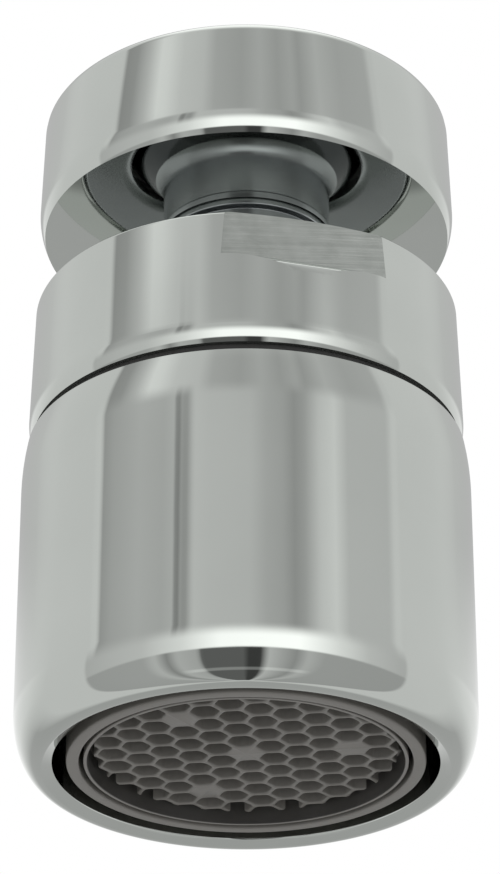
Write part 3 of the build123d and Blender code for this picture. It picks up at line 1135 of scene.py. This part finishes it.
@dataclass
class Studio:
    """White room with a greyer front, a pale floor far below and the photograph's camera.

    Streaks are directions in degrees from the front, each with its level of light.
    Pairs that end in _rise are heights in degrees over which one part of the room
    gives way to the next.
    """

    floor_z: float = -0.5
    floor_reach: float = 9.4
    camera_place: tuple[float, float, float] = (0.22 * MM, -175.615 * MM, -73.76 * MM)
    camera_rise: float = math.radians(28.452)
    camera_near: float = 0.01
    focal_pixels: float = 3377.4
    sensor: float = 36.0
    front: float = 82.0
    front_blend: float = 1.0
    brightest: float = 2.5
    upper_streaks: tuple[Point, ...] = (
        (-82, 1.0), (-79, 1.0), (-76, 0.50), (-69, 0.55), (-60, 0.86), (-52, 1.26), (-47, 1.22), (-38, 1.0),
        (-25, 0.92), (-18, 0.72), (-3, 0.64), (8, 0.74), (18, 0.62), (26, 0.70), (31, 0.60), (42, 0.80),
        (56, 0.69), (75, 0.73), (79, 0.96),
    )
    lower_streaks: tuple[Point, ...] = (
        (-82, 1.03), (-78, 1.05), (-76, 0.58), (-70, 0.68), (-55, 0.78), (-42, 0.73), (-36, 0.80),
        (-34.5, 0.2), (-33, 0.62), (-30, 0.52), (-26, 0.94), (-18, 0.90), (2, 0.86), (10, 0.72),
        (18, 0.66), (24, 0.53), (29, 0.62), (37, 0.98), (45, 1.12), (52, 0.86), (75, 0.84), (79, 1.04),
    )
    glow_streaks: tuple[Point, ...] = (
        (-82, 0.78), (-50, 0.95), (-30, 1.35), (-12, 2.0), (25, 2.1), (45, 1.35), (60, 0.95), (79, 0.78),
    )
    low_streaks: tuple[Point, ...] = (
        (-82, 0.62), (-50, 0.66), (-44, 0.85), (-38, 0.45), (-33, 0.8), (-23, 0.7), (-21, 0.2), (-1, 0.2),
        (1, 0.08), (7, 0.08), (11, 0.85), (24, 0.5), (30, 0.8), (38, 0.62), (79, 0.6),
    )
    down_rise: Point = (-86.0, -82.0)
    low_rise: Point = (-4.0, -1.0)
    glow_rise: Point = (10.0, 24.0)
    upper_rise: Point = (28.0, 36.0)
    plain_rise: Point = (45.0, 65.0)
    ceiling_rise: Point = (55.0, 75.0)
    ceiling: float = 1.9
    line_top: Point = (-34.0, -37.0)
    line_bottom: Point = (-41.0, -44.0)
    line_width: Point = (28.0, 36.0)
    line_level: float = 0.25
    back_start: float = 112.0
    back_blend: float = 20.0
    back_end: float = 178.0
    back_dimmest: float = 0.45
    back_rise: Point = (22.0, 27.0)
    back_levels: tuple[Point, ...] = ((-90, 0.64), (-12, 0.64), (13, 1.1), (30, 1.1))

    def ramp(self, graph: Graph, share: Any, streaks: tuple[Point, ...]) -> Socket:
        """Turn a row of light and dark streaks into levels by direction.

        Args:
            graph: The tree to add to.
            share: Socket that runs from 0 to 1 over a full turn.
            streaks: Directions in degrees from the middle, each with its level.

        Returns:
            The level of light in a direction.
        """
        node = graph.add("ShaderNodeValToRGB", {"Fac": share})
        stops = node.color_ramp.elements
        while len(stops) > 1:
            stops.remove(stops[-1])
        for index, (direction, level) in enumerate(streaks):
            place = direction / 360 + 0.5
            stop = stops[0] if index == 0 else stops.new(place)
            stop.position = place
            part = level / self.brightest
            stop.color = (part, part, part, 1.0)
        return graph.math("MULTIPLY", node.outputs[0], self.brightest)

    def front_light(self, graph: Graph, share: Socket, height: Socket, wide: Socket) -> Socket:
        """Return the level of light in front: four rows of streaks, one above the other."""
        upper = self.ramp(graph, share, self.upper_streaks)
        lower = self.ramp(graph, share, self.lower_streaks)
        level = graph.crossing(height, self.upper_rise, lower, upper)
        level = graph.crossing(height, self.plain_rise, level, 1.0)
        glow = self.ramp(graph, share, self.glow_streaks)
        level = graph.crossing(height, self.glow_rise, glow, level)
        line = graph.span(height, self.line_top, (0.0, self.line_level))
        line = graph.math("MULTIPLY", line, graph.span(height, self.line_bottom, (1.0, 0.0)))
        line = graph.math("MULTIPLY", line, graph.span(wide, self.line_width, (1.0, 0.0)))
        low = graph.math("ADD", self.ramp(graph, share, self.low_streaks), line)
        level = graph.crossing(height, self.low_rise, low, level)
        return graph.crossing(height, self.down_rise, 1.0, level)

    def back_light(self, graph: Graph, height: Socket, wide: Socket) -> Socket:
        """Return the level of light at the sides and the back."""
        tall = graph.math("MULTIPLY_ADD", height, 1 / 360, 0.5)
        levels = self.ramp(graph, tall, self.back_levels)
        fading = graph.span(wide, (self.back_start, self.back_end), (1.0, self.back_dimmest))
        behind = graph.crossing(height, self.back_rise, levels, fading)
        start = (self.back_start, self.back_start + self.back_blend)
        return graph.crossing(wide, start, 1.0, behind, False)

    def world(self) -> None:
        """Make the room that lights the part and shows in its chrome."""
        world = bpy.data.worlds.new("studio")
        world.use_nodes = True
        bpy.context.scene.world = world
        graph = Graph(world.node_tree)
        way = graph.add("ShaderNodeSeparateXYZ", {0: graph.add("ShaderNodeTexCoord").outputs["Generated"]})
        across, depth, rise = way.outputs
        turn = graph.math("ARCTAN2", across, graph.math("MULTIPLY", depth, -1.0))
        share = graph.math("MULTIPLY_ADD", turn, 0.5 / math.pi, 0.5)
        height = graph.math("DEGREES", graph.math("ARCSINE", rise))
        wide = graph.math("DEGREES", graph.math("ABSOLUTE", turn))
        ahead = self.front_light(graph, share, height, wide)
        behind = self.back_light(graph, height, wide)
        sides = (self.front - self.front_blend, self.front + self.front_blend)
        level = graph.crossing(wide, sides, ahead, behind, False)
        level = graph.crossing(height, self.ceiling_rise, level, self.ceiling)
        seen = graph.add("ShaderNodeLightPath").outputs["Is Camera Ray"]
        level = graph.mix(seen, level, 1.0)
        light = world.node_tree.nodes["Background"]
        light.inputs["Color"].default_value = (1.0, 1.0, 1.0, 1.0)
        graph.link(level, light.inputs["Strength"])

    def floor(self) -> None:
        """Lay the pale floor."""
        mesh = bpy.data.meshes.new("pale_floor")
        shape = bmesh.new()
        bmesh.ops.create_grid(shape, x_segments=4, y_segments=4, size=self.floor_reach)
        shape.to_mesh(mesh)
        shape.free()
        mesh.transform(Matrix.Translation((0, 0, self.floor_z)))
        mesh.materials.append(PALE.material())
        floor = new_piece("pale_floor", mesh)
        floor.visible_glossy = False

    def camera(self) -> None:
        """Stand the camera where the photograph was taken from."""
        data = bpy.data.cameras.new("photo_camera")
        data.sensor_fit = "AUTO"
        data.sensor_width = self.sensor
        data.lens = self.focal_pixels / max(IMAGE_WIDTH, IMAGE_HEIGHT) * self.sensor
        data.clip_start = self.camera_near
        camera = bpy.data.objects.new("photo_camera", data)
        bpy.context.scene.collection.objects.link(camera)
        forward = Vector((0.0, math.cos(self.camera_rise), math.sin(self.camera_rise)))
        camera.location = self.camera_place
        camera.rotation_euler = forward.to_track_quat("-Z", "Y").to_euler()
        bpy.context.scene.camera = camera

    def build(self) -> None:
        """Make the room, the floor and the camera."""
        bpy.context.scene.view_settings.view_transform = "Standard"
        self.camera()
        self.world()
        self.floor()


def main() -> None:
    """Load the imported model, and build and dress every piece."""
    logging.basicConfig(level=logging.INFO, format="%(message)s")
    for leftover in list(bpy.data.objects):
        bpy.data.objects.remove(leftover)
    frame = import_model()
    nodes = frame["nodes"]
    Studio().build()
    ConnectorNut().build(nodes)
    BallJoint().build(nodes)
    Collar().build(nodes)
    Housing().build()
    FlowInsert().build(nodes)


if __name__ == "__main__":
    main()
